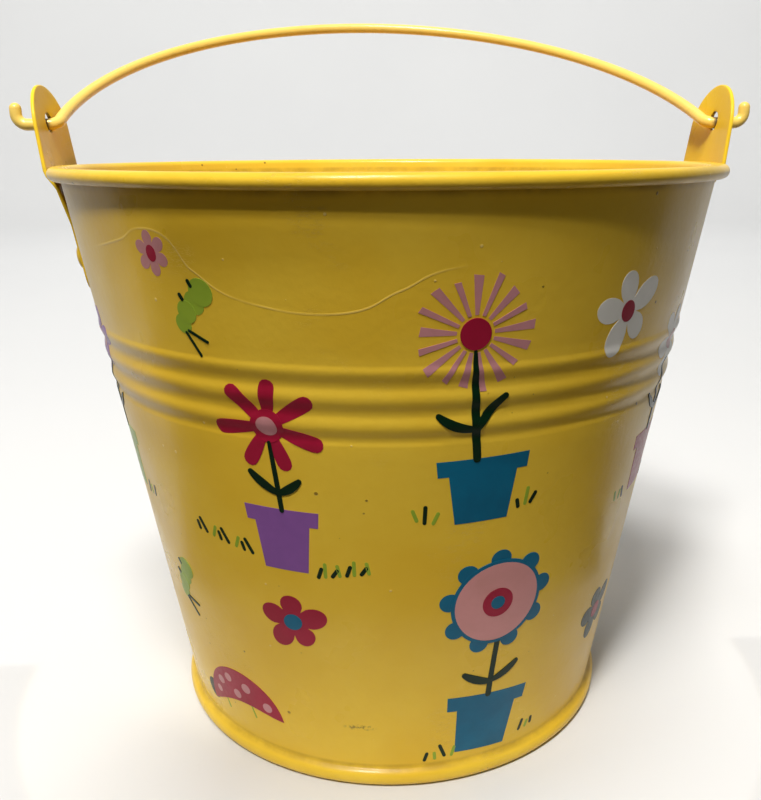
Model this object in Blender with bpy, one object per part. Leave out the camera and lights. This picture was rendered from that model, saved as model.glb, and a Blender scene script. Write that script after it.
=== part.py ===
"""A small painted steel pail with a hinged wire bail.

Metres, +Z up. The origin is the centre of the circle that the pail rests on.
The two ears stand on the X axis, and the bail swings about an axis along X.
"""

from math import acos, atan, atan2, cos, hypot, pi, radians, sin, sqrt

import bmesh
import bpy
from mathutils import Matrix, Vector

# Driving dimensions: the pail's body
RIM_RADIUS = 0.0825
HEIGHT = 0.1427
FOOT_RADIUS = 0.0595
SHEET = 0.0005
RIM_CURL_RADIUS = 0.00155
RIM_CURL_END = radians(-110.0)
FOOT_ROLL_RADIUS = 0.0023
FOOT_ROLL_END = radians(-195.0)
FOOT_FILLET = 0.0012
WALL_RADIUS_AT_FOOT = 0.0567

# Three pressed beads round the wall
BEAD_COUNT = 3
BEAD_PITCH = 0.00577
BEAD_TOP = 0.10765
BEAD_DEPTH = 0.00028
BEAD_STEPS = 4

# The folded side seam at the back
SEAM_WIDTH = 0.006
SEAM_LIFT = 0.0005
SEAM_SHOULDER = 0.0007
SEAM_CLEAR_ANGLE = 0.02
SEAM_BOTTOM = 0.0095
SEAM_TOP = HEIGHT - 0.0055

# The base pan
FLOOR_HEIGHT = 0.0070
FLOOR_STEP_DROP = 0.0010
FLOOR_STEP_RADIUS = 0.0430
FLOOR_STEP_RUN = 0.0020
FLOOR_CORNER = 0.0015
FLANGE_END = 0.0035

# The ears
EAR_THICKNESS = 0.0009
EAR_HALF_WIDTH = 0.01295
EAR_HALF_WIDTH_AT_HOLE = 0.0123
EAR_RADIUS_AT_RIM = 0.08375
EAR_LEAN = 0.115
EAR_RISE = 0.0190
EAR_ROUND_START = 0.0079
EAR_TAB_END = 0.0300
EAR_TAB_CORNER = 0.0040
EAR_TAB_TOP = 0.0140
EAR_NECK_DROP = 0.0051
EAR_NECK_OUT = 0.0004
EAR_KNEE_DROP = 0.0018
EAR_BEND = 0.0014
EAR_HOLE_RISE = 0.0102
EAR_HOLE_RADIUS = 0.0023

# The bail
WIRE_RADIUS = 0.00145
AXIS_RISE = 0.0097
BAIL_LEAN_BACK = radians(66.7)
BAIL_SPAN = 0.0850
BAIL_BEND = 0.0025
BAIL_END_SLOPE = radians(86.0)
BAIL_SWAY = -0.05
HOOK_REACH = 0.0924
HOOK_RISE = 0.0052

# The rivets
RIVET_DROP = 0.0220
RIVET_SPREAD = 0.0070
RIVET_SHANK = 0.0015
RIVET_HEAD = 0.0030
RIVET_DOME = 0.0012
RIVET_TAIL = 0.0025
RIVET_TAIL_END = 0.0020
RIVET_TAIL_THICKNESS = 0.0007
RIVET_TAIL_GAP = 0.00045

# Clearance between neighbouring pieces, and how finely round shapes are divided
GAP = 0.0003
AROUND = 48
ARC_STEP = radians(30.0)
ARCH_STEP = radians(4.3)
WIRE_QUARTER_STEPS = 5
EAR_COLUMNS = 12
HOLE_SIDES = 24
RIVET_SIDES = 20
CUTTER_DEPTH = 0.006
TINY = 1e-7

# Values that follow from the ones above
HALF_SHEET = SHEET / 2
CURL_PATH = RIM_CURL_RADIUS - HALF_SHEET
CURL_CENTRE = Vector((RIM_RADIUS - RIM_CURL_RADIUS, HEIGHT - RIM_CURL_RADIUS))
ROLL_PATH = FOOT_ROLL_RADIUS - HALF_SHEET
ROLL_HALF_FLAT = radians(12.0)
ROLL_CENTRE = Vector((FOOT_RADIUS - FOOT_ROLL_RADIUS, ROLL_PATH * cos(ROLL_HALF_FLAT) + HALF_SHEET))
WALL_TAPER = (CURL_CENTRE.x - CURL_PATH - WALL_RADIUS_AT_FOOT) / CURL_CENTRE.y
WALL_TILT = atan(WALL_TAPER)
AXIS_HEIGHT = HEIGHT + AXIS_RISE


def clear_scene():
    for obj in list(bpy.data.objects):
        bpy.data.objects.remove(obj, do_unlink=True)


def paint(name, colour, roughness, metallic=0.0):
    """A Principled material for one piece."""
    material = bpy.data.materials.new(name)
    material.use_nodes = True
    shader = material.node_tree.nodes["Principled BSDF"]
    shader.inputs["Base Color"].default_value = (*colour, 1.0)
    shader.inputs["Roughness"].default_value = roughness
    shader.inputs["Metallic"].default_value = metallic
    return material


def add_piece(name, mesh, material=None, sharp_angle=radians(40.0)):
    """Links a mesh as one named piece, shaded smooth except over its sharp edges."""
    piece = bpy.data.objects.new(name, mesh)
    bpy.context.scene.collection.objects.link(piece)
    if material:
        mesh.materials.append(material)
    mesh.shade_smooth()
    mesh.set_sharp_from_angle(angle=sharp_angle)
    return piece


def to_mesh(name, bm):
    bmesh.ops.recalc_face_normals(bm, faces=bm.faces[:])
    mesh = bpy.data.meshes.new(name)
    bm.to_mesh(mesh)
    bm.free()
    return mesh


def arc(centre, radius, start, end, step=ARC_STEP):
    """Points on an arc from angle start to angle end, both included."""
    count = max(1, round(abs(end - start) / step))
    angles = [start + (end - start) * i / count for i in range(count + 1)]
    return [centre + Vector((cos(a), sin(a))) * radius for a in angles]


def rounded(corners, radius, step=ARC_STEP):
    """The path through corners, with each inner corner turned into an arc."""
    path = [corners[0]]
    for before, corner, after in zip(corners, corners[1:], corners[2:]):
        back = (before - corner).normalized()
        ahead = (after - corner).normalized()
        half_angle = acos(max(-1.0, min(1.0, back.dot(ahead)))) / 2
        centre = corner + (back + ahead).normalized() * (radius / sin(half_angle))
        reach = radius * cos(half_angle) / sin(half_angle)
        first = corner + back * reach - centre
        last = corner + ahead * reach - centre
        start = atan2(first.y, first.x)
        turn = atan2(first.cross(last), first.dot(last))
        path += arc(centre, radius, start, start + turn, step)
    return path + [corners[-1]]


def thickened(path, thickness):
    """The closed outline of a sheet of this thickness whose middle follows path."""
    left = []
    right = []
    for i, point in enumerate(path):
        into = (point - path[i - 1]).normalized() if i else None
        out = (path[i + 1] - point).normalized() if i + 1 < len(path) else None
        along = ((into or out) + (out or into)).normalized()
        normal = Vector((-along.y, along.x))
        mitre = 1.0 / along.dot(out or into)
        left.append(point + normal * (thickness / 2 * mitre))
        right.append(point - normal * (thickness / 2 * mitre))
    return left + right[::-1]


def lathe(outline, angles):
    """Turns a closed (radius, height) outline about Z. A point on the axis becomes one single vertex."""
    bm = bmesh.new()
    columns = []
    for radius, height in outline:
        if radius < TINY:
            columns.append([bm.verts.new((0, 0, height))] * len(angles))
        else:
            columns.append([bm.verts.new((radius * cos(a), radius * sin(a), height)) for a in angles])
    for one, two in zip(columns, columns[1:] + columns[:1]):
        for i in range(len(angles)):
            j = (i + 1) % len(angles)
            corners = list(dict.fromkeys((one[i], one[j], two[j], two[i])))
            if len(corners) > 2:
                bm.faces.new(corners)
    return bm


def even_angles(count):
    return [2 * pi * i / count for i in range(count)]


# ---------------------------------------------------------------- the wall


def wall_centre(z):
    """Radius of the middle of the wall's sheet at height z."""
    radius = WALL_RADIUS_AT_FOOT + WALL_TAPER * z
    turns = (BEAD_TOP - z) / BEAD_PITCH
    if 0 < turns < BEAD_COUNT:
        radius += BEAD_DEPTH * sin(2 * pi * turns)
    return radius


def wall_outside(z):
    return WALL_RADIUS_AT_FOOT + WALL_TAPER * z + HALF_SHEET / cos(WALL_TILT)


def foot_path():
    """From the wall, out over a small fillet and round the foot roll."""
    up = Vector((sin(WALL_TILT), cos(WALL_TILT)))
    outward = Vector((up.y, -up.x))
    on_wall = Vector((WALL_RADIUS_AT_FOOT, 0))
    along = (ROLL_CENTRE - on_wall).dot(up)
    beside = (ROLL_CENTRE - on_wall).dot(outward)
    lift = sqrt((ROLL_PATH + FOOT_FILLET) ** 2 - (FOOT_FILLET - beside) ** 2)
    fillet_centre = on_wall + up * (along + lift) + outward * FOOT_FILLET
    down = ROLL_CENTRE - fillet_centre
    fillet_start = atan2(-outward.y, -outward.x) % (2 * pi)
    fillet_end = atan2(down.y, down.x) % (2 * pi)
    roll_start = fillet_end - pi
    flat = -pi / 2
    return (
        arc(fillet_centre, FOOT_FILLET, fillet_start, fillet_end)
        + arc(ROLL_CENTRE, ROLL_PATH, roll_start, flat + ROLL_HALF_FLAT)[1:]
        + arc(ROLL_CENTRE, ROLL_PATH, flat - ROLL_HALF_FLAT, FOOT_ROLL_END)
    )


def wall_path():
    """From the lip of the rim curl, over the rim, down the wall and round the foot roll."""
    curl = arc(CURL_CENTRE, CURL_PATH, RIM_CURL_END, pi - WALL_TILT)
    bead_bottom = BEAD_TOP - BEAD_COUNT * BEAD_PITCH
    bead_rows = BEAD_COUNT * BEAD_STEPS
    heights = [SEAM_TOP]
    heights += [BEAD_TOP + (bead_bottom - BEAD_TOP) * i / bead_rows for i in range(bead_rows + 1)]
    heights.append(SEAM_BOTTOM)
    side = [Vector((wall_centre(z), z)) for z in heights]
    return curl + side + foot_path()


def seam_angles():
    """The angles where the seam's flanks start and end, either side of the back."""
    half = SEAM_WIDTH / 2 / RIM_RADIUS
    shoulder = SEAM_SHOULDER / RIM_RADIUS
    back = pi / 2
    return [back - half, back - half + shoulder, back + half - shoulder, back + half]


def build_wall(material):
    flanks = seam_angles()
    near_seam = (flanks[0] - SEAM_CLEAR_ANGLE, flanks[-1] + SEAM_CLEAR_ANGLE)
    others = [a for a in even_angles(AROUND) if not near_seam[0] < a < near_seam[1]]
    bm = lathe(thickened(wall_path(), SHEET), sorted(others + flanks))
    for vert in bm.verts:
        across = abs(atan2(vert.co.x, vert.co.y))
        on_top = across < pi / 2 - flanks[1] + TINY * 10
        outside = hypot(vert.co.x, vert.co.y) > wall_centre(vert.co.z)
        if on_top and outside and SEAM_BOTTOM + SHEET < vert.co.z < SEAM_TOP - SHEET:
            vert.co += Vector((vert.co.x, vert.co.y, 0)).normalized() * SEAM_LIFT
    return add_piece("wall", to_mesh("wall", bm), material)


# ---------------------------------------------------------------- the base


def build_base(material):
    inset = (SHEET + GAP) / cos(WALL_TILT)
    flange = [Vector((wall_centre(z) - inset, z)) for z in (FLOOR_HEIGHT, FLANGE_END)]
    panel = FLOOR_HEIGHT - FLOOR_STEP_DROP
    corners = [
        Vector((0, panel)),
        Vector((FLOOR_STEP_RADIUS, panel)),
        Vector((FLOOR_STEP_RADIUS + FLOOR_STEP_RUN, FLOOR_HEIGHT)),
        *flange,
    ]
    path = rounded(corners, FLOOR_CORNER)
    mesh = to_mesh("base", lathe(thickened(path, SHEET), even_angles(AROUND)))
    return add_piece("base", mesh, material)


# ---------------------------------------------------------------- the ears


def ear_path():
    """(radius, height) up the middle of an ear's sheet, from its tab on the wall to its tip."""
    stand_off = (GAP + EAR_THICKNESS / 2) / cos(WALL_TILT)
    tab = [Vector((wall_outside(HEIGHT - d) + stand_off, HEIGHT - d)) for d in (EAR_TAB_END, EAR_TAB_TOP)]
    below_curl = Vector((CURL_CENTRE.x + EAR_NECK_OUT, HEIGHT - EAR_NECK_DROP))
    beside_curl = Vector((EAR_RADIUS_AT_RIM, HEIGHT - EAR_KNEE_DROP))
    tip = Vector((EAR_RADIUS_AT_RIM + EAR_LEAN * EAR_RISE, HEIGHT + EAR_RISE))
    return rounded([*tab, below_curl, beside_curl, tip], EAR_BEND)


def ear_half_width(height):
    """Half the ear's width at this height: rounded tab corners, a slight taper, and a rounded tip."""
    rise = height - HEIGHT
    if rise > EAR_ROUND_START:
        up = (rise - EAR_ROUND_START) / (EAR_RISE - EAR_ROUND_START)
        return EAR_HALF_WIDTH_AT_HOLE * sqrt(max(0.0, 1 - up * up))
    if rise > 0:
        return EAR_HALF_WIDTH + (EAR_HALF_WIDTH_AT_HOLE - EAR_HALF_WIDTH) * rise / EAR_ROUND_START
    from_end = rise + EAR_TAB_END
    cut = max(0.0, EAR_TAB_CORNER - from_end)
    return EAR_HALF_WIDTH - EAR_TAB_CORNER + sqrt(EAR_TAB_CORNER**2 - cut**2)


def ear_rows():
    """The rows of the ear's sheet: points along its path, closer together where the outline is round."""
    path = ear_path()
    start, end = path[0], path[-1]
    tab_length = (path[1] - start).length
    corner_rows = [
        start.lerp(path[1], EAR_TAB_CORNER * (1 - cos(radians(a))) / tab_length) for a in (20, 40, 60, 90)
    ]
    round_from = path[-2].lerp(end, (HEIGHT + EAR_ROUND_START - path[-2].y) / (end.y - path[-2].y))
    tip_rows = [round_from.lerp(end, sin(radians(a))) for a in (0, 12, 24, 36, 48, 60, 72, 84)]
    return [start, *corner_rows, *path[1:-1], *tip_rows]


def build_ear(name, side, material, cutters):
    """side is +1 for the ear at +X and -1 for the ear at -X."""
    bm = bmesh.new()
    grid = []
    for radius, height in ear_rows():
        row = []
        for j in range(EAR_COLUMNS + 1):
            angle = ear_half_width(height) * (2 * j / EAR_COLUMNS - 1) / radius
            row.append(bm.verts.new((side * radius * cos(angle), side * radius * sin(angle), height)))
        grid.append(row)
    for low, high in zip(grid, grid[1:]):
        for j in range(EAR_COLUMNS):
            bm.faces.new((low[j], low[j + 1], high[j + 1], high[j]))
    ear = add_piece(name, to_mesh(name, bm), material)
    sheet = ear.modifiers.new("sheet", "SOLIDIFY")
    sheet.thickness = EAR_THICKNESS
    sheet.offset = 0.0
    sheet.use_even_offset = True
    cut_with(ear, cutters)
    return ear


# ---------------------------------------------------------------- holes


def rivet_places():
    """(name, matrix) for each rivet, whose Z axis points along the wall's normal from its outer face."""
    height = HEIGHT - RIVET_DROP
    places = []
    for side, side_name in ((-1, "left"), (1, "right")):
        for end, end_name in ((-1, "front"), (1, "back")):
            angle = end * RIVET_SPREAD / wall_outside(height)
            if side < 0:
                angle = pi - angle
            turn = Matrix.Rotation(angle, 4, "Z")
            out = Matrix.Translation((wall_outside(height), 0, height))
            tip_over = Matrix.Rotation(pi / 2 + WALL_TILT, 4, "Y")
            places.append((f"rivet_{side_name}_{end_name}", turn @ out @ tip_over))
    return places


def add_cylinder(bm, radius, matrix):
    bmesh.ops.create_cone(
        bm,
        cap_ends=True,
        segments=HOLE_SIDES,
        radius1=radius,
        radius2=radius,
        depth=CUTTER_DEPTH,
        matrix=matrix,
    )


def add_cutter(name, bm):
    cutter = add_piece(name, to_mesh(name, bm))
    cutter.hide_render = True
    cutter.display_type = "WIRE"
    return cutter


def build_rivet_hole_cutter():
    bm = bmesh.new()
    for _, matrix in rivet_places():
        add_cylinder(bm, RIVET_SHANK + GAP, matrix)
    return add_cutter("cutter_rivet_holes", bm)


def build_ear_hole_cutter():
    bm = bmesh.new()
    for side in (-1, 1):
        centre = Matrix.Translation((side * BAIL_SPAN, 0, HEIGHT + EAR_HOLE_RISE))
        add_cylinder(bm, EAR_HOLE_RADIUS, centre @ Matrix.Rotation(pi / 2, 4, "Y"))
    return add_cutter("cutter_ear_holes", bm)


def cut_with(piece, cutters):
    for cutter in cutters:
        cut = piece.modifiers.new(cutter.name, "BOOLEAN")
        cut.operation = "DIFFERENCE"
        cut.solver = "EXACT"
        cut.object = cutter


# ---------------------------------------------------------------- rivets


def rivet_outline():
    """(radius, height) of a rivet, from the top of its domed head down to its flattened tail."""
    head_base = GAP + EAR_THICKNESS + GAP
    tail_top = -SHEET - RIVET_TAIL_GAP
    tail_end = tail_top - RIVET_TAIL_THICKNESS
    steps = 4
    dome = [
        Vector((RIVET_HEAD * sin(pi / 2 * i / steps), head_base + RIVET_DOME * cos(pi / 2 * i / steps)))
        for i in range(steps + 1)
    ]
    return dome + [
        Vector((RIVET_SHANK, head_base)),
        Vector((RIVET_SHANK, tail_top)),
        Vector((RIVET_TAIL, tail_top)),
        Vector((RIVET_TAIL_END, tail_end)),
        Vector((0, tail_end)),
    ]


def build_rivets(material):
    mesh = to_mesh("rivet", lathe(rivet_outline(), even_angles(RIVET_SIDES)))
    mesh.materials.append(material)
    for name, matrix in rivet_places():
        add_piece(name, mesh).matrix_world = matrix


# ---------------------------------------------------------------- the bail


def hook_points():
    """The hook from the ear's hole to its tip: ((along X, up), radius factor), thinning at the tip."""
    bend_centre = Vector((HOOK_REACH - BAIL_BEND, BAIL_BEND))
    bend = arc(bend_centre, BAIL_BEND, -pi / 2, 0)
    dome = [(HOOK_RISE - WIRE_RADIUS * (1 - sin(radians(a))), cos(radians(a))) for a in (0, 30, 60, 85)]
    points = [(Vector((BAIL_SPAN, 0)), 1.0)] + [(p, 1.0) for p in bend]
    return points + [(Vector((HOOK_REACH, rise)), thin) for rise, thin in dome]


def arch_points():
    """(along X, up in the bail's plane) from the crown down to the hole, on the +X side."""
    bend_end = BAIL_SPAN - BAIL_BEND * sin(BAIL_END_SLOPE)
    radius = bend_end / sin(BAIL_END_SLOPE)
    rise = BAIL_BEND * (1 - cos(BAIL_END_SLOPE))
    centre = Vector((0, rise - radius * cos(BAIL_END_SLOPE)))
    arch = arc(centre, radius, pi / 2, pi / 2 - BAIL_END_SLOPE, ARCH_STEP)
    bend_centre = Vector((BAIL_SPAN, BAIL_BEND))
    bend = arc(bend_centre, BAIL_BEND, 3 * pi / 2 - BAIL_END_SLOPE, 3 * pi / 2)
    return arch + bend[1:]


def bail_line():
    """Points along the wire from one hook's tip to the other's, each with its radius factor."""
    up = Vector((0, -sin(BAIL_LEAN_BACK), cos(BAIL_LEAN_BACK)))
    half_arch = [(Vector((p.x, 0, p.y)), 1.0) for p in arch_points()]
    half_hook = [(Vector((p.x, 0, 0)) + up * p.y, thin) for p, thin in hook_points()[1:]]
    right = half_arch + half_hook
    left = [(Vector((-p.x, p.y, p.z)), thin) for p, thin in right[:0:-1]]
    swayed = []
    for point, thin in left + right:
        in_plane = point.z if abs(point.x) < BAIL_SPAN else 0.0
        swayed.append((point + Vector((BAIL_SWAY * in_plane, 0, 0)), thin))
    return swayed


def build_bail(material):
    """The wire, drawn upright about its axis and then leant back."""
    curve = bpy.data.curves.new("bail", "CURVE")
    curve.dimensions = "3D"
    curve.bevel_depth = WIRE_RADIUS
    curve.bevel_resolution = WIRE_QUARTER_STEPS - 1
    curve.use_fill_caps = True
    line = bail_line()
    spline = curve.splines.new("POLY")
    spline.points.add(len(line) - 1)
    for knot, (point, thin) in zip(spline.points, line):
        knot.co = (*point, 1.0)
        knot.radius = thin
    curve.materials.append(material)
    bail = bpy.data.objects.new("bail", curve)
    bpy.context.scene.collection.objects.link(bail)
    bail.location = (0, 0, AXIS_HEIGHT)
    bail.rotation_euler = (-BAIL_LEAN_BACK, 0, 0)
    return bail


def build():
    clear_scene()
    yellow = (0.72, 0.47, 0.035)
    rivet_holes = build_rivet_hole_cutter()
    ear_holes = build_ear_hole_cutter()
    wall = build_wall(paint("wall_enamel", yellow, 0.32))
    cut_with(wall, [rivet_holes])
    build_base(paint("base_enamel", yellow, 0.38))
    build_ear("ear_left", -1, paint("ear_left_enamel", yellow, 0.34), [ear_holes, rivet_holes])
    build_ear("ear_right", 1, paint("ear_right_enamel", yellow, 0.34), [ear_holes, rivet_holes])
    build_rivets(paint("rivet_enamel", yellow, 0.36))
    build_bail(paint("bail_enamel", (0.80, 0.55, 0.06), 0.30))
    bpy.context.view_layer.update()


build()
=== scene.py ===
"""The finished look of a small painted steel pail with printed garden pictures and a wire bail.

Lengths are in metres, except where a name or a comment says millimetres. Places on the wall are
given as an angle from the front (-Y), positive towards +X, and a height above the floor.
"""

from math import acos, atan, atan2, ceil, cos, hypot, pi, radians, sin, sqrt

import bmesh
import bpy
from mathutils import Matrix, Vector, geometry


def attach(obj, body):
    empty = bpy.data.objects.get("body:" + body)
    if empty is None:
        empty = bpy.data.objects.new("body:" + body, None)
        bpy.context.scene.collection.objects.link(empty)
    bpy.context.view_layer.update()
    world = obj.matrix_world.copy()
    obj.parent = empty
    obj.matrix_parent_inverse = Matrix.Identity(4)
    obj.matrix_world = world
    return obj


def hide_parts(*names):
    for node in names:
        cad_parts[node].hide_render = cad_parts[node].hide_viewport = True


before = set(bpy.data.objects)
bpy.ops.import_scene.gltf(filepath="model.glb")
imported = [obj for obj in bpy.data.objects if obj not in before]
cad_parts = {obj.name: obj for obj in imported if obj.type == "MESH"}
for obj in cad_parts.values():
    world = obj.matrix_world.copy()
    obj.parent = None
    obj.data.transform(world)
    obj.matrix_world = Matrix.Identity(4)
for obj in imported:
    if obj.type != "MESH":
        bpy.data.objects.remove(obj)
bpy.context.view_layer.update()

MM = 0.001

# The pail's sheet, as the part has it
RIM_RADIUS = 0.0825
HEIGHT = 0.1427
SHEET = 0.0005
FOOT_RADIUS = 0.0595
RIM_CURL_RADIUS = 0.00155
FOOT_ROLL_RADIUS = 0.0023
FOOT_FILLET = 0.0012
WALL_RADIUS_AT_FOOT = 0.0567
BEAD_COUNT = 3
BEAD_PITCH = 0.00577
BEAD_TOP = 0.10765
BEAD_DEPTH = 0.00028
GAP = 0.0003

# The seam at the back
SEAM_WIDTH = 0.006
SEAM_LIFT = 0.0005
SEAM_SHOULDER = 0.0006
SEAM_BOTTOM = 0.0085
SEAM_TOP = HEIGHT - 0.0045

# The base pan
FLOOR_HEIGHT = 0.0070
FLOOR_STEP_DROP = 0.0010
FLOOR_STEP_RADIUS = 0.0430
FLOOR_STEP_RUN = 0.0020
FLOOR_CORNER = 0.0015
FLANGE_END = 0.0035

# The ears
EAR_THICKNESS = 0.0009
EAR_EDGE_ROUND = 0.0003
EAR_HALF_WIDTH = 0.01295
EAR_HALF_WIDTH_AT_HOLE = 0.0123
EAR_RADIUS_AT_RIM = 0.08375
EAR_LEAN = 0.115
EAR_RISE = 0.0190
EAR_ROUND_START = 0.0079
EAR_TAB_END = 0.0300
EAR_TAB_CORNER = 0.0040
EAR_TAB_TOP = 0.0140
EAR_NECK_DROP = 0.0051
EAR_NECK_OUT = 0.0004
EAR_KNEE_DROP = 0.0018
EAR_BEND = 0.0014
EAR_HOLE_RISE = 0.0102
EAR_HOLE_RADIUS = 0.0023

# The bail
WIRE_RADIUS = 0.00145
AXIS_RISE = 0.0097
BAIL_LEAN_BACK = radians(66.7)
BAIL_SPAN = 0.0850
BAIL_BEND = 0.0025
BAIL_END_SLOPE = radians(86.0)
BAIL_SWAY = -0.05
HOOK_REACH = 0.0924
HOOK_RISE = 0.0052

# The rivets
RIVET_DROP = 0.0220
RIVET_SPREAD = 0.0070
RIVET_SHANK = 0.0015
RIVET_HEAD = 0.0030
RIVET_DOME = 0.0012
RIVET_TAIL = 0.0025
RIVET_TAIL_END = 0.0020
RIVET_TAIL_THICKNESS = 0.0007
RIVET_TAIL_GAP = 0.00045

# How finely the shapes are divided
AROUND = 288
ARC_STEP = radians(12.0)
PRINT_COLUMN = 1.4
PRINT_ROW = 0.72
PRINT_EDGE = 0.5

# The ink stands this far off the enamel, and each further layer this much more
INK_LIFT = 0.00005
INK_LAYER = 0.00004
INK_ROOT = 0.00003

HALF_SHEET = SHEET / 2
CURL_PATH = RIM_CURL_RADIUS - HALF_SHEET
CURL_CENTRE = Vector((RIM_RADIUS - RIM_CURL_RADIUS, HEIGHT - RIM_CURL_RADIUS))
ROLL_PATH = FOOT_ROLL_RADIUS - HALF_SHEET
ROLL_HALF_FLAT = radians(12.0)
ROLL_CENTRE = Vector((FOOT_RADIUS - FOOT_ROLL_RADIUS, ROLL_PATH * cos(ROLL_HALF_FLAT) + HALF_SHEET))
WALL_TAPER = (CURL_CENTRE.x - CURL_PATH - WALL_RADIUS_AT_FOOT) / CURL_CENTRE.y
WALL_TILT = atan(WALL_TAPER)
AXIS_HEIGHT = HEIGHT + AXIS_RISE


# ------------------------------------------------------------------ shape helpers


def arc(centre, radius, start, end, step=ARC_STEP):
    """Points on an arc from angle start to angle end, both included."""
    count = max(1, ceil(abs(end - start) / step - 1e-6))
    angles = [start + (end - start) * i / count for i in range(count + 1)]
    return [centre + Vector((cos(a), sin(a))) * radius for a in angles]


def rounded(corners, radius):
    """The path through corners, with each inner corner turned into an arc."""
    path = [corners[0]]
    for before, corner, after in zip(corners, corners[1:], corners[2:]):
        back = (before - corner).normalized()
        ahead = (after - corner).normalized()
        half_angle = acos(max(-1.0, min(1.0, back.dot(ahead)))) / 2
        centre = corner + (back + ahead).normalized() * (radius / sin(half_angle))
        reach = radius * cos(half_angle) / sin(half_angle)
        first = corner + back * reach - centre
        last = corner + ahead * reach - centre
        start = atan2(first.y, first.x)
        turn = atan2(first.cross(last), first.dot(last))
        path += arc(centre, radius, start, start + turn)
    return path + [corners[-1]]


def directions(path):
    """The direction of the path at each of its points."""
    steps = [(b - a).normalized() for a, b in zip(path, path[1:])]
    return [(a + b).normalized() for a, b in zip([steps[0]] + steps, steps + [steps[-1]])]


def thickened(path, thickness):
    """The closed outline of a sheet whose middle follows path, with half-round edges."""
    left = []
    right = []
    along = directions(path)
    for point, way in zip(path, along):
        normal = Vector((-way.y, way.x)) * (thickness / 2)
        left.append(point + normal)
        right.append(point - normal)
    def edge(end, way):
        facing = atan2(way.y, way.x)
        return arc(end, thickness / 2, facing + pi / 2, facing - pi / 2, radians(45))[1:-1]
    return left + edge(path[-1], along[-1]) + right[::-1] + edge(path[0], -along[0])


def lathe(outline, angles):
    """Turns a closed (radius, height) outline about the Z axis."""
    bm = bmesh.new()
    columns = []
    for radius, height in outline:
        if radius < 1e-7:
            columns.append([bm.verts.new((0, 0, height))] * len(angles))
        else:
            columns.append([bm.verts.new((radius * sin(a), -radius * cos(a), height)) for a in angles])
    for one, two in zip(columns, columns[1:] + columns[:1]):
        for i in range(len(angles)):
            j = (i + 1) % len(angles)
            corners = list(dict.fromkeys((one[i], one[j], two[j], two[i])))
            if len(corners) > 2:
                bm.faces.new(corners)
    return bm


def even_angles(count):
    return [2 * pi * i / count for i in range(count)]


def smooth_step(value, low, high):
    t = max(0.0, min(1.0, (value - low) / (high - low)))
    return t * t * (3 - 2 * t)


def add_piece(name, bm, material, body, replaces=(), sharp_angle=radians(35.0)):
    """Turns a bmesh into a piece that rides on a body and may stand for CAD nodes."""
    bmesh.ops.recalc_face_normals(bm, faces=bm.faces[:])
    mesh = bpy.data.meshes.new(name)
    bm.to_mesh(mesh)
    bm.free()
    mesh.materials.append(material)
    mesh.shade_smooth()
    mesh.set_sharp_from_angle(angle=sharp_angle)
    piece = bpy.data.objects.new(name, mesh)
    bpy.context.scene.collection.objects.link(piece)
    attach(piece, body)
    if replaces:
        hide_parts(*replaces)
    return piece


# ------------------------------------------------------------------ the wall and base


def wall_centre(z):
    """Radius of the middle of the wall's sheet at height z."""
    radius = WALL_RADIUS_AT_FOOT + WALL_TAPER * z
    turns = (BEAD_TOP - z) / BEAD_PITCH
    if 0 < turns < BEAD_COUNT:
        ease = min(1.0, 4 * turns, 4 * (BEAD_COUNT - turns))
        radius += BEAD_DEPTH * sin(2 * pi * turns) * sin(pi / 2 * ease)
    return radius


def wall_outside(z):
    return wall_centre(z) + HALF_SHEET / cos(WALL_TILT)


def foot_path():
    """From the wall, out over a small fillet and round the foot roll."""
    up = Vector((sin(WALL_TILT), cos(WALL_TILT)))
    outward = Vector((up.y, -up.x))
    on_wall = Vector((WALL_RADIUS_AT_FOOT, 0))
    along = (ROLL_CENTRE - on_wall).dot(up)
    beside = (ROLL_CENTRE - on_wall).dot(outward)
    lift = sqrt((ROLL_PATH + FOOT_FILLET) ** 2 - (FOOT_FILLET - beside) ** 2)
    fillet_centre = on_wall + up * (along + lift) + outward * FOOT_FILLET
    down = ROLL_CENTRE - fillet_centre
    fillet_start = atan2(-outward.y, -outward.x) % (2 * pi)
    fillet_end = atan2(down.y, down.x) % (2 * pi)
    flat = -pi / 2
    return (
        arc(fillet_centre, FOOT_FILLET, fillet_start, fillet_end)
        + arc(ROLL_CENTRE, ROLL_PATH, fillet_end - pi, flat + ROLL_HALF_FLAT)[1:]
        + arc(ROLL_CENTRE, ROLL_PATH, flat - ROLL_HALF_FLAT, radians(-195))
    )


def wall_heights():
    """Rows down the wall, close together where the beads are."""
    bead_bottom = BEAD_TOP - BEAD_COUNT * BEAD_PITCH
    bead_rows = 48
    above = [SEAM_TOP + (BEAD_TOP - SEAM_TOP) * i / 12 for i in range(12)]
    beads = [BEAD_TOP + (bead_bottom - BEAD_TOP) * i / bead_rows for i in range(bead_rows)]
    below = [bead_bottom + (SEAM_BOTTOM - bead_bottom) * i / 24 for i in range(25)]
    return above + beads + below


def wall_angles():
    """Even steps round the pail, with finer ones over the seam at the back."""
    reach = SEAM_WIDTH / RIM_RADIUS
    fine = [pi + reach * (i / 18 - 1) for i in range(37)]
    return [a for a in even_angles(AROUND) if abs(a - pi) > reach * 1.1] + fine


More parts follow.
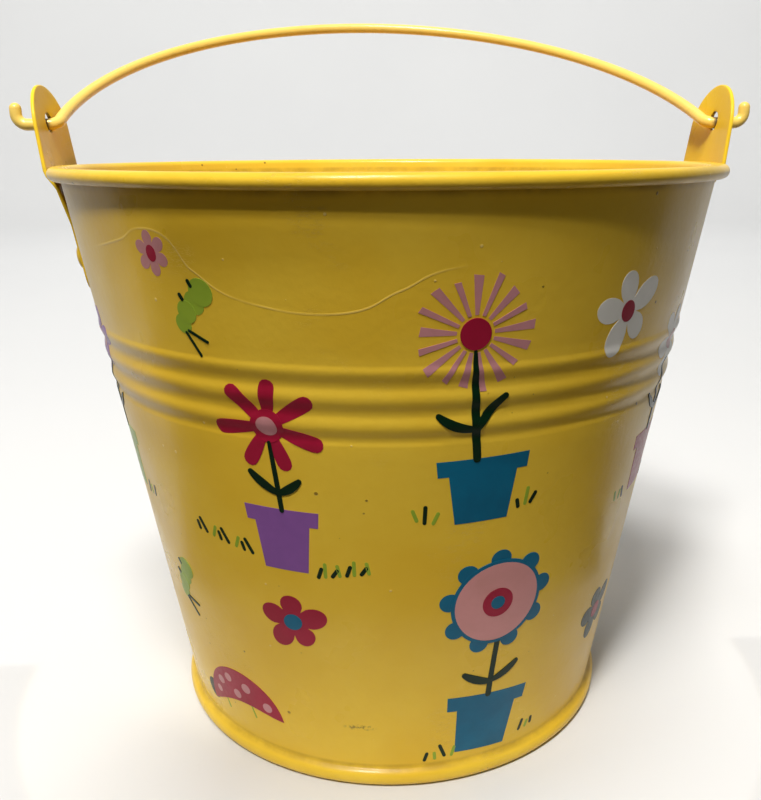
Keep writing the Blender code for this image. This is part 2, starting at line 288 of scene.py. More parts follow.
def build_wall(material):
    curl = arc(CURL_CENTRE, CURL_PATH, radians(-110), pi - WALL_TILT)
    side = [Vector((wall_centre(z), z)) for z in wall_heights()]
    bm = lathe(thickened(curl + side + foot_path(), SHEET), sorted(wall_angles()))
    for vert in bm.verts:
        x, y, z = vert.co
        outside = hypot(x, y) > wall_centre(z) and hypot(x, y) < CURL_CENTRE.x - CURL_PATH
        if outside and y > 0 and SEAM_BOTTOM < z < SEAM_TOP:
            across = abs(atan2(x, y)) * hypot(x, y)
            lift = 1 - smooth_step(across, SEAM_WIDTH / 2 - SEAM_SHOULDER, SEAM_WIDTH / 2)
            lift *= smooth_step(z, SEAM_BOTTOM, SEAM_BOTTOM + 0.002)
            lift *= 1 - smooth_step(z, SEAM_TOP - 0.002, SEAM_TOP)
            vert.co += Vector((x, y, 0)).normalized() * (SEAM_LIFT * lift)
    add_piece("pail_wall", bm, material, "pail", ["wall"])


def build_base(material):
    inset = (SHEET + GAP) / cos(WALL_TILT)
    flange = [Vector((wall_centre(z) - inset, z)) for z in (FLOOR_HEIGHT, FLANGE_END)]
    panel = FLOOR_HEIGHT - FLOOR_STEP_DROP
    corners = [
        Vector((0, panel)),
        Vector((FLOOR_STEP_RADIUS, panel)),
        Vector((FLOOR_STEP_RADIUS + FLOOR_STEP_RUN, FLOOR_HEIGHT)),
        *flange,
    ]
    path = rounded(corners, FLOOR_CORNER)
    sides = [path[0].lerp(path[1], i / 10) for i in range(10)] + path[1:]
    outline = [Vector((max(0.0, p.x), p.y)) for p in thickened(sides, SHEET)]
    on_axis = [i for i, p in enumerate(outline) if p.x < 1e-7]
    keep = [p for i, p in enumerate(outline) if i not in on_axis[2:]]
    keep[0].x = 0.0
    add_piece("pail_base", lathe(keep, even_angles(192)), material, "pail", ["base"])


# ------------------------------------------------------------------ flat shapes bent onto a surface


def resampled(loop, spacing):
    """The closed loop with no two neighbouring points further apart than spacing."""
    points = []
    for a, b in zip(loop, loop[1:] + loop[:1]):
        count = max(1, ceil((b - a).length / spacing))
        points += [a.lerp(b, i / count) for i in range(count)]
    return points


def inset_loop(loop, distance):
    """The closed loop moved towards its left side, where the material is."""
    moved = []
    for before, point, after in zip(loop[-1:] + loop[:-1], loop, loop[1:] + loop[:1]):
        way = (after - before).normalized()
        moved.append(point + Vector((-way.y, way.x)) * distance)
    return moved


def inside(point, loop):
    """Whether the point lies in the closed loop."""
    odd = False
    for a, b in zip(loop, loop[1:] + loop[:1]):
        if (a.y > point.y) != (b.y > point.y):
            if point.x < a.x + (b.x - a.x) * (point.y - a.y) / (b.y - a.y):
                odd = not odd
    return odd


def near(point, loop, distance):
    return any((point - p).length_squared < distance * distance for p in loop)


def fill_plane(loops, column, row):
    """Triangles between an outer loop and its holes, with grid points inside so that the result can bend."""
    low = Vector((min(p.x for p in loops[0]), min(p.y for p in loops[0])))
    high = Vector((max(p.x for p in loops[0]), max(p.y for p in loops[0])))
    points = [p for loop in loops for p in loop]
    grid = []
    for j in range(1, ceil((high.y - low.y) / row)):
        for i in range(1, ceil((high.x - low.x) / column)):
            point = low + Vector((i * column, j * row))
            if not inside(point, loops[0]) or any(inside(point, hole) for hole in loops[1:]):
                continue
            if not near(point, points, 0.4 * min(column, row)):
                grid.append(point)
    edges = []
    start = 0
    for loop in loops:
        edges += [(start + i, start + (i + 1) % len(loop)) for i in range(len(loop))]
        start += len(loop)
    flat, _, triangles = geometry.delaunay_2d_cdt(points + grid, edges, [], 2, 1e-7)[:3]

    def in_a_hole(triangle):
        middle = (flat[triangle[0]] + flat[triangle[1]] + flat[triangle[2]]) / 3
        return any(inside(middle, hole) for hole in loops[1:])

    return flat, [t for t in triangles if not in_a_hole(t)]


def bend_sheet(bm, loops, rings, place, column, row):
    """A closed solid between two bent copies of a flat shape.

    rings lists (inset, offset) from the upper face's edge to the lower face's edge, and place
    maps a flat point and its offset from the surface to space.
    """
    ring_verts = []
    for inset, offset in rings:
        level = [inset_loop(loop, inset) for loop in loops]
        ring_verts.append([[bm.verts.new(place(p, offset)) for p in loop] for loop in level])
    for upper, lower in zip(ring_verts, ring_verts[1:]):
        for one, two in zip(upper, lower):
            for i in range(len(one)):
                j = (i + 1) % len(one)
                bm.faces.new((one[i], one[j], two[j], two[i]))
    for verts, (inset, offset), flip in ((ring_verts[0], rings[0], False), (ring_verts[-1], rings[-1], True)):
        edge = [inset_loop(loop, inset) for loop in loops]
        flat, triangles = fill_plane(edge, column, row)
        rim = [v for loop in verts for v in loop]
        cap = [rim[i] if i < len(rim) else bm.verts.new(place(p, offset)) for i, p in enumerate(flat)]
        for triangle in triangles:
            corners = [cap[i] for i in triangle]
            bm.faces.new(corners[::-1] if flip else corners)


# ------------------------------------------------------------------ the ears


def ear_path():
    """(radius, height) up the middle of an ear's sheet, from its tab on the wall to its tip."""
    stand_off = (GAP + EAR_THICKNESS / 2) / cos(WALL_TILT)
    tab = []
    for drop in (EAR_TAB_END, EAR_TAB_TOP):
        plain_wall = WALL_RADIUS_AT_FOOT + WALL_TAPER * (HEIGHT - drop) + HALF_SHEET / cos(WALL_TILT)
        tab.append(Vector((plain_wall + stand_off, HEIGHT - drop)))
    below_curl = Vector((CURL_CENTRE.x + EAR_NECK_OUT, HEIGHT - EAR_NECK_DROP))
    beside_curl = Vector((EAR_RADIUS_AT_RIM, HEIGHT - EAR_KNEE_DROP))
    tip = Vector((EAR_RADIUS_AT_RIM + EAR_LEAN * EAR_RISE, HEIGHT + EAR_RISE))
    return rounded([*tab, below_curl, beside_curl, tip], EAR_BEND)


def ear_half_width(height):
    """Half the ear's width at this height: rounded tab corners, a slight taper, and a rounded tip."""
    rise = height - HEIGHT
    if rise > EAR_ROUND_START:
        up = (rise - EAR_ROUND_START) / (EAR_RISE - EAR_ROUND_START)
        return EAR_HALF_WIDTH_AT_HOLE * sqrt(max(0.0, 1 - up * up))
    if rise > 0:
        return EAR_HALF_WIDTH + (EAR_HALF_WIDTH_AT_HOLE - EAR_HALF_WIDTH) * rise / EAR_ROUND_START
    cut = max(0.0, EAR_TAB_CORNER - (rise + EAR_TAB_END))
    return EAR_HALF_WIDTH - EAR_TAB_CORNER + sqrt(max(0.0, EAR_TAB_CORNER**2 - cut**2))


def ear_outline(path, lengths):
    """The ear's flat outline: (across, along its path), anticlockwise."""
    total = lengths[-1]
    marks = [total * i / 40 for i in range(41)]
    marks += [EAR_TAB_CORNER * (1 - cos(radians(a))) for a in range(15, 90, 15)]
    round_length = (EAR_RISE - EAR_ROUND_START) * sqrt(1 + EAR_LEAN**2)
    marks = [m for m in marks if m < total - round_length]
    marks += [total - round_length * (1 - sin(radians(a))) for a in range(0, 90, 6)]
    marks = sorted(set(marks))
    right = [Vector((ear_half_width(along_path(path, lengths, m)[0].y), m)) for m in marks]
    left = [Vector((-p.x, p.y)) for p in reversed(right)]
    return right + [Vector((0.0, total))] + left


def along_path(path, lengths, distance):
    """The point and the direction of the path at this distance along it."""
    i = 0
    while i < len(lengths) - 2 and lengths[i + 1] < distance:
        i += 1
    share = (distance - lengths[i]) / (lengths[i + 1] - lengths[i])
    ways = directions(path)
    return path[i].lerp(path[i + 1], share), ways[i].lerp(ways[i + 1], share).normalized()


def path_lengths(path):
    lengths = [0.0]
    for a, b in zip(path, path[1:]):
        lengths.append(lengths[-1] + (b - a).length)
    return lengths


def round_edge_rings(thickness, radius):
    """(inset, offset) over a sheet's rounded edge, from its upper face to its lower one."""
    turns = [radians(a) for a in (0, 30, 60, 90)]
    quarter = [(radius * (1 - sin(t)), thickness / 2 - radius * (1 - cos(t))) for t in turns]
    return quarter + [(inset, -offset) for inset, offset in reversed(quarter)]


def build_ear(name, side, node, material):
    """side is +1 for the ear at +X and -1 for the ear at -X."""
    path = ear_path()
    lengths = path_lengths(path)
    hole_along = lengths[-1] - (EAR_RISE - EAR_HOLE_RISE) * sqrt(1 + EAR_LEAN**2)
    rivet_along = (EAR_TAB_END - RIVET_DROP) / cos(WALL_TILT)
    hole = arc(Vector((0, hole_along)), EAR_HOLE_RADIUS, 2 * pi, 0, radians(10))[:-1]
    rivet_holes = [
        arc(Vector((x, rivet_along)), RIVET_SHANK + GAP, 2 * pi, 0, radians(15))[:-1]
        for x in (-RIVET_SPREAD, RIVET_SPREAD)
    ]

    def place(point, offset):
        middle, way = along_path(path, lengths, point.y)
        angle = point.x / middle.x
        spot = middle + Vector((way.y, -way.x)) * offset
        return Vector((side * spot.x * cos(angle), side * spot.x * sin(angle), spot.y))

    bm = bmesh.new()
    rings = round_edge_rings(EAR_THICKNESS, EAR_EDGE_ROUND)
    bend_sheet(bm, [ear_outline(path, lengths), hole, *rivet_holes], rings, place, 0.0018, 0.0009)
    add_piece(name, bm, material, "pail", [node], radians(50))


# ------------------------------------------------------------------ rivets


def rivet_outline():
    """(radius, height) of a rivet, from the top of its domed head down to its flattened tail."""
    head_base = GAP + EAR_THICKNESS + GAP
    tail_top = -SHEET - RIVET_TAIL_GAP
    tail_end = tail_top - RIVET_TAIL_THICKNESS
    dome = [
        Vector((RIVET_HEAD * sin(pi / 16 * i), head_base + 0.0002 + RIVET_DOME * 0.83 * cos(pi / 16 * i)))
        for i in range(9)
    ]
    tail_edge = Vector((RIVET_TAIL, tail_top))
    tail = [tail_edge.lerp(Vector((RIVET_TAIL_END, tail_end)), i / 3) for i in range(4)]
    return dome + [
        Vector((RIVET_HEAD - 0.0001, head_base)),
        Vector((RIVET_SHANK, head_base)),
        Vector((RIVET_SHANK, tail_top)),
        *tail,
        Vector((0, tail_end)),
    ]


def build_rivets(material):
    height = HEIGHT - RIVET_DROP
    radius = wall_outside(height)
    for side, side_name in ((-1, "left"), (1, "right")):
        for end, end_name in ((-1, "front"), (1, "back")):
            angle = end * RIVET_SPREAD / radius
            if side < 0:
                angle = pi - angle
            matrix = (
                Matrix.Rotation(angle, 4, "Z")
                @ Matrix.Translation((radius, 0, height))
                @ Matrix.Rotation(pi / 2 + WALL_TILT, 4, "Y")
            )
            bm = lathe(rivet_outline(), even_angles(36))
            bm.transform(matrix)
            node = f"rivet_{side_name}_{end_name}"
            add_piece("pail_" + node, bm, material, "pail", [node])


# ------------------------------------------------------------------ the bail


def hook_points():
    """(along X, up) from just outside the ear's hole to the hook's rounded tip, and the wire's thinning."""
    bend = arc(Vector((HOOK_REACH - BAIL_BEND, BAIL_BEND)), BAIL_BEND, -pi / 2, 0)
    dome = [(HOOK_RISE - WIRE_RADIUS * (1 - sin(radians(a))), cos(radians(a))) for a in range(0, 90, 12)]
    return [(p, 1.0) for p in bend] + [(Vector((HOOK_REACH, rise)), thin) for rise, thin in dome]


def arch_points():
    """(along X, up in the bail's plane) from the crown down to the hole, on the +X side."""
    bend_end = BAIL_SPAN - BAIL_BEND * sin(BAIL_END_SLOPE)
    radius = bend_end / sin(BAIL_END_SLOPE)
    rise = BAIL_BEND * (1 - cos(BAIL_END_SLOPE))
    centre = Vector((0, rise - radius * cos(BAIL_END_SLOPE)))
    arch = arc(centre, radius, pi / 2, pi / 2 - BAIL_END_SLOPE, radians(1.5))
    bend_centre = Vector((BAIL_SPAN, BAIL_BEND))
    return arch + arc(bend_centre, BAIL_BEND, 3 * pi / 2 - BAIL_END_SLOPE, 3 * pi / 2)[1:]


def bail_line():
    """Points along the wire from one hook's tip to the other's, as it hangs leaning back."""
    up = Vector((0, sin(BAIL_LEAN_BACK), cos(BAIL_LEAN_BACK)))
    axis = Vector((0, 0, AXIS_HEIGHT))
    right = [(axis + Vector((p.x, 0, 0)) + up * p.y, 1.0, p.y) for p in arch_points()]
    right += [(axis + Vector((p.x, 0, p.y)), thin, 0.0) for p, thin in hook_points()]
    left = [(Vector((-p.x, p.y, p.z)), thin, rise) for p, thin, rise in right[:0:-1]]
    return [(p + Vector((BAIL_SWAY * rise, 0, 0)), thin) for p, thin, rise in left + right]


def sweep(line, radius, sides):
    """A closed round tube along a line of (point, radius factor)."""
    bm = bmesh.new()
    points = [p for p, _ in line]
    ways = directions(points)
    normal = ways[0].orthogonal().normalized()
    rings = []
    for (point, thin), way in zip(line, ways):
        normal = (normal - way * normal.dot(way)).normalized()
        beside = way.cross(normal)
        spokes = [normal * cos(t) + beside * sin(t) for t in even_angles(sides)]
        rings.append([bm.verts.new(point + spoke * (radius * thin)) for spoke in spokes])
    for one, two in zip(rings, rings[1:]):
        for i in range(sides):
            j = (i + 1) % sides
            bm.faces.new((one[i], one[j], two[j], two[i]))
    bm.faces.new(rings[0])
    bm.faces.new(rings[-1])
    return bm


def build_bail(material):
    bm = sweep(bail_line(), WIRE_RADIUS, 24)
    add_piece("bail_wire", bm, material, "bail", ["bail"], radians(60))


# ------------------------------------------------------------------ outlines of the pictures, in millimetres


def ellipse(width, height, turn=0.0, steps=36):
    """An oval about the origin, turned anticlockwise by turn degrees."""
    t = radians(turn)
    loop = []
    for i in range(steps):
        x = width / 2 * cos(2 * pi * i / steps)
        y = height / 2 * sin(2 * pi * i / steps)
        loop.append(Vector((x * cos(t) - y * sin(t), x * sin(t) + y * cos(t))))
    return loop


def petals(count, inner, outer, fullness, turn=0.0, sway=0.0):
    """A flower of rounded petals: fullness above 1 makes them broad, and sway makes them uneven."""
    loop = []
    steps = count * 16
    for i in range(steps):
        a = 2 * pi * i / steps
        lobe = abs(cos(count * a / 2)) ** (1 / fullness)
        reach = outer * (1 + sway * sin(2 * a + 1.1) + sway * cos(3 * a))
        r = inner + (reach - inner) * lobe
        loop.append(Vector((r * cos(a + radians(turn)), r * sin(a + radians(turn)))))
    return loop


def stroke(points, widths):
    """A brush stroke with rounded ends through points, with a width at each."""
    line = [Vector(p) for p in points]
    if len(line) == 3:
        line, widths = curve_through(line, widths)
    ways = directions(line)
    left = []
    right = []
    for point, way, width in zip(line, ways, widths):
        normal = Vector((-way.y, way.x)) * (width / 2)
        left.append(point + normal)
        right.append(point - normal)
    def end(centre, way, width):
        facing = atan2(way.y, way.x)
        return arc(centre, width / 2, facing - pi / 2, facing + pi / 2, radians(30))[1:-1]
    return right + end(line[-1], ways[-1], widths[-1]) + left[::-1] + end(line[0], -ways[0], widths[0])


def curve_through(line, widths):
    """A smooth curve that starts and ends on the outer points and bends towards the middle one."""
    steps = 12
    shares = [i / steps for i in range(steps + 1)]
    curved = [
        line[0] * (1 - t) ** 2 + line[1] * 2 * t * (1 - t) + line[2] * t**2 for t in shares
    ]
    if len(widths) == 1:
        return curved, [widths[0]] * len(curved)
    return curved, [widths[0] * (1 - t) ** 2 + widths[1] * 2 * t * (1 - t) + widths[2] * t**2 for t in shares]


def pot(lip_width, foot_width, height):
    """A flowerpot seen from the side, with its top edge's middle at the origin."""
    lip = height * 0.24
    body = lip_width * 0.37
    corners = [
        (-lip_width / 2, 0), (-lip_width / 2 + 0.3, -lip), (-body, -lip), (-foot_width / 2, -height),
        (foot_width / 2, -height), (body, -lip), (lip_width / 2 - 0.3, -lip), (lip_width / 2, 0),
    ]
    return [Vector(c) for c in corners]


def moved(loop, dx, dy, turn=0.0):
    """The loop turned anticlockwise about the origin and then moved."""
    t = radians(turn)
    return [Vector((p.x * cos(t) - p.y * sin(t) + dx, p.x * sin(t) + p.y * cos(t) + dy)) for p in loop]


def leaf(start, end, width, bow):
    """A leaf from start to end that bows to its left, widest past its middle."""
    a = Vector(start)
    b = Vector(end)
    middle = (a + b) / 2 + Vector((a.y - b.y, b.x - a.x)) * bow
    return stroke([a, middle, b], [width * 0.5, width * 1.35, width * 0.6])


class Print:
    """Collects the ink patches of every picture, by ink."""

    def __init__(self):
        self.inks = {}
        self.home = (0.0, 0.0, 0.0)

    def at(self, angle, height, turn=0.0):
        """Places what follows about a point on the wall: angle and turn in degrees, height in millimetres."""
        self.home = (angle, height, turn)

    def patch(self, ink, loop, layer=0, dx=0.0, dy=0.0, turn=0.0):
        angle, height, home_turn = self.home
        local = moved(moved(loop, dx, dy, turn) if (dx or dy or turn) else loop, 0, 0, home_turn)
        self.inks.setdefault(ink, []).append((local, angle, height, layer))

    def build(self, ink, material):
        bm = bmesh.new()
        for loop, angle, height, layer in self.inks[ink]:
            print_patch(bm, loop, radians(angle), height * MM, INK_LIFT + layer * INK_LAYER)
        add_piece("print_" + ink, bm, material, "pail", (), radians(30))


def print_patch(bm, loop, angle, height, lift):
    """A thin layer of ink on the wall, from a flat outline in millimetres."""
    start_radius = wall_outside(height)
    area = sum(a.cross(b) for a, b in zip(loop, loop[1:] + loop[:1]))
    fine = resampled(loop if area > 0 else loop[::-1], PRINT_EDGE)

    def place(point, offset):
        z = height + point.y * MM
        across = angle + point.x * MM / start_radius
        slope = (wall_outside(z + 1e-4) - wall_outside(z - 1e-4)) / 2e-4
        steep = 1 / sqrt(1 + slope * slope)
        radius = wall_outside(z) + offset * steep
        return Vector((radius * sin(across), -radius * cos(across), z - offset * slope * steep))

    bend_sheet(bm, [fine], [(0.0, lift), (0.0, -INK_ROOT)], place, PRINT_COLUMN, PRINT_ROW)


def grass(page, blades):
    """Short strokes: (x, y, lean, length, ink) for each blade, standing on y."""
    for x, y, lean, length, ink in blades:
        width = 0.95 if ink == "pine" else 0.85
        page.patch(ink, stroke([(x, y), (x + lean, y + length)], [width, width]))


def draw_posy(page, angle, height):
    page.at(angle, height, 8)
    page.patch("pink", petals(6, 2.2, 4.5, 1.6, 30))
    page.patch("crimson", ellipse(2.7, 3.3), 1)


def draw_caterpillar(page, angle, height, turn):
    """A caterpillar of four overlapping ovals, with two short legs and two feelers."""
    page.at(angle, height, turn)
    for i, (x, y, size) in enumerate(((-4.6, -0.2, 3.9), (-1.8, 0.5, 4.5), (1.2, 0.2, 4.6), (4.2, 0.3, 5.4))):
        page.patch("lime", ellipse(size, size * 1.08, steps=24), i % 2, x, y)
    for x in (-0.4, 3.6):
        page.patch("pine", stroke([(x, 2.6), (x + 0.3, 3.6)], [0.8, 0.8]), 2)
    page.patch("pine", stroke([(-4.8, -1.9), (-3.2, -6.4)], [0.6, 0.6]), 2)
    page.patch("pine", stroke([(-5.6, -1.7), (-6.9, -6.9)], [0.6, 0.6]), 2)


def ray(way, start, end, narrow, wide):
    """A straight bar that widens from start to end along the direction way, with blunt ends."""
    side = Vector((-way.y, way.x))
    slant = 0.12
    return [
        way * start - side * (narrow / 2), way * (end - slant) - side * (wide / 2),
        way * (end + slant) + side * (wide / 2), way * start + side * (narrow / 2),
    ]


def draw_sunburst(page, angle, height):
    """A flower of separate thin rays on a stem, in a blue pot."""
    page.at(angle, height)
    rays = 17
    for i in range(rays):
        a = 2 * pi * (i + 0.3) / rays
        reach = 11.3 + 0.7 * cos(5 * a)
        wide = 1.9 if i % 2 == 0 else 1.3
        page.patch("pink", ray(Vector((cos(a), sin(a))), 3.7, reach, 0.7, wide), i % 2)
    page.patch("crimson", ellipse(6.1, 6.3), 3)
    page.patch("pine", stroke([(0.2, -3.4), (0.9, -14), (2.3, -26.2)], [0.7, 2.2, 1.7]), 3)
    page.patch("pine", leaf((1.7, -19.6), (-6.4, -16.6), 2.1, 0.18), 4)
    page.patch("pine", leaf((1.9, -19.8), (7.2, -12.8), 2.0, 0.12), 4)
    page.patch("blue", moved(pot(21.2, 12.6, 14.9), 4.1, -26.2, 2))
    grass(page, ((-8.6, -40.4, 0.1, 3.6, "pine"), (-10.4, -39.8, -0.9, 2.2, "lime"),
                 (-6.6, -40.6, 1.0, 2.2, "lime"), (13.6, -38.8, -0.4, 1.5, "pine"),
                 (15.4, -38.4, 0.3, 3.6, "lime"), (16.8, -38.2, 1.1, 2.0, "pine")))


def draw_daisy(page, angle, height):
    page.at(angle, height, 10)
    page.patch("white", petals(5, 2.6, 9.4, 1.35, 20, 0.07))
    page.patch("crimson", ellipse(4.2, 4.6), 1)


def draw_star_flower(page, angle, height):
    """A flower of seven long petals on a stem, in a purple pot."""
    page.at(angle, height)
    for i in range(7):
        a = radians(84 + 360 / 7 * i)
        reach = 11.2 + 1.2 * cos(2 * a)
        way = Vector((cos(a), sin(a)))
        petal = stroke([way * 0.6, way * (reach * 0.6), way * (reach - 1.6)], [1.5, 3.7, 3.3])
        page.patch("crimson", petal, i % 2)
    page.patch("crimson", ellipse(7.2, 7.2), 2)
    page.patch("pink", ellipse(4.6, 4.0, -20), 3)
    page.patch("pine", stroke([(0.0, -3.6), (0.5, -11), (0.9, -19.2)], [0.8, 1.3, 1.1]), 3)
    page.patch("pine", leaf((0.6, -15.2), (-5.4, -10.8), 2.1, 0.10), 4)
    page.patch("pine", leaf((0.6, -15.2), (5.6, -12.0), 2.1, -0.12), 4)
    page.patch("violet", moved(pot(17.8, 11.0, 15.2), 0.4, -19.0, -1))
    blades = [(-8.6 - 2.3 * i, -31.4 + 0.35 * i, (-1.6, -0.4, 1.0)[i % 3], (3.0, 1.6, 2.3)[i % 3],
               ("pine", "pine", "lime")[i % 3]) for i in range(8)]
    blades += [(8.0 + 1.7 * i, -35.0 + 0.25 * i, (0.8, 0.0, 1.1, -0.5)[i % 4], (2.1, 3.1, 1.5, 2.4)[i % 4],
                ("pine", "lime")[i % 2]) for i in range(8)]
    grass(page, blades)


def draw_blossom(page, angle, height, petal_ink, heart_ink, turn):
    page.at(angle, height, turn)
    page.patch(petal_ink, petals(5, 3.6, 7.7, 1.5, 18, 0.06))
    page.patch(heart_ink, ellipse(4.6, 4.2, 30), 1)


def draw_ladybird(page, angle, height, turn):
    """A spotted half-oval beetle with a dark head and thin legs."""
    page.at(angle, height, turn)
    dome = [Vector((12.8 * cos(radians(a)), 12.6 * sin(radians(a)))) for a in range(0, 181, 6)]
    belly = [Vector((-12.0 + 24.0 * i / 12, 3.0 * sin(pi * i / 12))) for i in range(1, 12)]
    page.patch("crimson", dome + belly, 1)
    page.patch("pine", ellipse(4.6, 6.0), 0, -12.4, 2.8)
    spots = ((-8.6, 4.2, 2.1), (-6.2, 7.6, 2.5), (-2.6, 9.4, 2.5),
             (-0.6, 5.2, 2.6), (3.4, 7.8, 2.8), (9.0, 3.6, 2.7))
    for x, y, size in spots:
        page.patch("pink", ellipse(size, size), 2, x, y)
    for x in (-6.5, 3.5):
        page.patch("lime", stroke([(x, 2.6), (x + 0.4, -0.6)], [0.45, 0.45]))


def draw_disc_flower(page, angle, height):
    """A plain round flower with small outer lobes, in a blue pot."""
    page.at(angle, height)
    for i in range(9):
        a = radians(40 * i + 12)
        page.patch("blue", ellipse(4.7, 4.7, steps=24), i % 2, 11.4 * cos(a), 11.4 * sin(a))
    page.patch("blue", ellipse(22.0, 22.4, steps=60), 2)
    page.patch("rose", ellipse(20.2, 20.6, steps=60), 3)
    page.patch("crimson", ellipse(7.4, 7.6, steps=36), 4)
    page.patch("blue", ellipse(3.4, 3.4, steps=24), 5)
    page.patch("pine", stroke([(1.2, -11.0), (0.8, -18), (0.6, -26.4)], [1.4, 1.3, 1.6]), 1)
    page.patch("pine", leaf((0.9, -22.6), (-6.4, -19.4), 2.3, 0.12), 2)
    page.patch("pine", leaf((0.9, -22.4), (7.4, -18.4), 2.2, -0.12), 2)
    page.patch("blue", moved(pot(22.4, 14.6, 17.0), 1.0, -26.2, -3))
    grass(page, ((-15.4, -44.0, 0.6, 1.9, "pine"), (-12.6, -43.8, -0.2, 1.7, "lime"),
                 (-10.0, -43.2, -1.4, 3.2, "pine"), (-8.0, -43.4, 0.6, 2.4, "lime"),
                 (12.6, -41.6, 0.7, 2.6, "pine"), (14.8, -41.4, 0.4, 1.5, "lime"),
                 (16.6, -40.8, 0.0, 1.4, "pine")))


def draw_potted_bloom(page, angle, height, petal_ink, heart_ink, pot_ink):
    """A flower of round petals on a stem in a pot."""
    page.at(angle, height)
    page.patch(petal_ink, petals(6, 3.4, 8.6, 1.4, 12, 0.05))
    page.patch(heart_ink, ellipse(5.0, 4.8), 1)
    page.patch("pine", stroke([(0.0, -4.8), (-0.6, -12), (0.2, -22.2)], [0.9, 1.5, 1.4]), 2)
    page.patch("pine", leaf((-0.2, -16.6), (-6.6, -12.4), 1.7, 0.14), 3)
    page.patch("pine", leaf((-0.2, -17.2), (6.2, -13.2), 1.7, -0.14), 3)
    page.patch(pot_ink, moved(pot(18.4, 11.8, 15.0), 0.2, -22.0, 1))
    grass(page, ((-9.6, -37.2, -0.8, 2.4, "pine"), (-11.8, -37.0, 0.2, 1.8, "lime"),
                 (-14.0, -37.0, -0.6, 2.0, "lime"), (9.4, -37.2, 0.8, 2.6, "pine"),
                 (11.8, -37.0, -0.3, 1.6, "lime"), (13.8, -37.0, 0.6, 2.2, "pine")))


def draw_pictures():
    """All the pictures: the front first, and then like ones round the sides and back."""
    page = Print()
    draw_posy(page, -39.2, 127.3)
    draw_caterpillar(page, -33.0, 117.2, 46)
    draw_sunburst(page, 9.2, 113.4)
    draw_daisy(page, 36.6, 114.7)
    draw_star_flower(page, -22.8, 93.9)
    draw_blossom(page, -22.9, 45.7, "crimson", "blue", 0)
    draw_ladybird(page, -41.4, 12.2, 8)
    draw_disc_flower(page, 18.0, 50.5)
    draw_blossom(page, 53.0, 33.6, "pine", "crimson", 20)
    draw_caterpillar(page, -54.0, 46.0, 60)
    draw_potted_bloom(page, -70.0, 104.0, "violet", "pink", "lime")
    draw_potted_bloom(page, 58.5, 104.0, "white", "pink", "maroon")
    draw_disc_flower(page, 92.0, 54.0)
    draw_sunburst(page, 128.0, 112.0)
    draw_blossom(page, 100.0, 100.0, "crimson", "pink", 10)
    draw_ladybird(page, 128.0, 18.0, 2)
    draw_star_flower(page, 160.0, 96.0)
    draw_posy(page, 160.0, 126.0)
    draw_blossom(page, 158.0, 40.0, "blue", "pink", 0)
    draw_disc_flower(page, -140.0, 52.0)
    draw_potted_bloom(page, -152.0, 112.0, "pink", "crimson", "blue")
    draw_caterpillar(page, -118.0, 120.0, 20)
    draw_star_flower(page, -108.0, 92.0)
    draw_blossom(page, -100.0, 34.0, "violet", "white", 30)
    return page


# ------------------------------------------------------------------ materials


